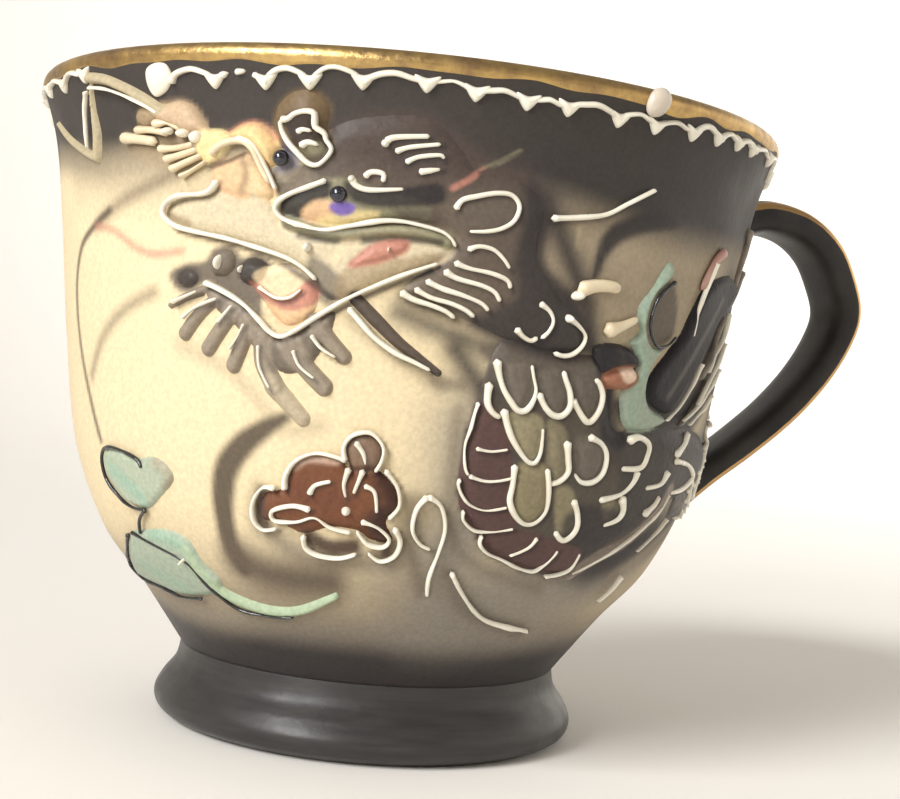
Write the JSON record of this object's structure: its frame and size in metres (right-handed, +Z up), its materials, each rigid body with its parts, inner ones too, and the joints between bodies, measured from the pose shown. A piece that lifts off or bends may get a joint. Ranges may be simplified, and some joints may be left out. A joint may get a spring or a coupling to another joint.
{
  "type": "footed demitasse cup",
  "caption": "Small footed porcelain coffee cup with an ear-shaped strap handle, gilt lip and raised slip-trailed dragon relief, for serving strong coffee.",
  "frame": {"origin": "middle of the overall length and width at the base; the cup's own axis is at x = -7.2 mm, y = 0", "axes": "+Z up the cup's axis towards the lip; the handle points along +X; the dragon's head faces -Y"},
  "size_m": [0.0808, 0.0668, 0.0547],
  "materials": {
    "airbrushed_ground": "matt cream ground, airbrushed grey",
    "dark_ground": "satin charcoal grey",
    "gilding": "worn bright gold",
    "white_slip": "glossy cream white trailed slip",
    "grey_slip": "grainy charcoal slip",
    "green_enamel": "glossy pale green enamel",
    "brown_enamel": "glossy red-brown enamel",
    "black_glass": "glossy blue-black enamel bead"
  },
  "bodies": {
    "root": {"bowl": "airbrushed_ground", "foot": "dark_ground", "handle": "dark_ground", "gilt_rim": "gilding", "scallop_border": "white_slip", "border_bead": "white_slip", "dragon_head_relief": "grey_slip", "dragon_neck_relief": "grey_slip", "dragon_body_relief": "grey_slip", "dragon_tail_relief": "grey_slip", "flaming_pearl_relief": "brown_enamel", "cloud_relief_front_left": "green_enamel", "cloud_relief_front_right": "green_enamel", "near_eye": "black_glass", "far_eye": "black_glass"}
  },
  "joints": []
}
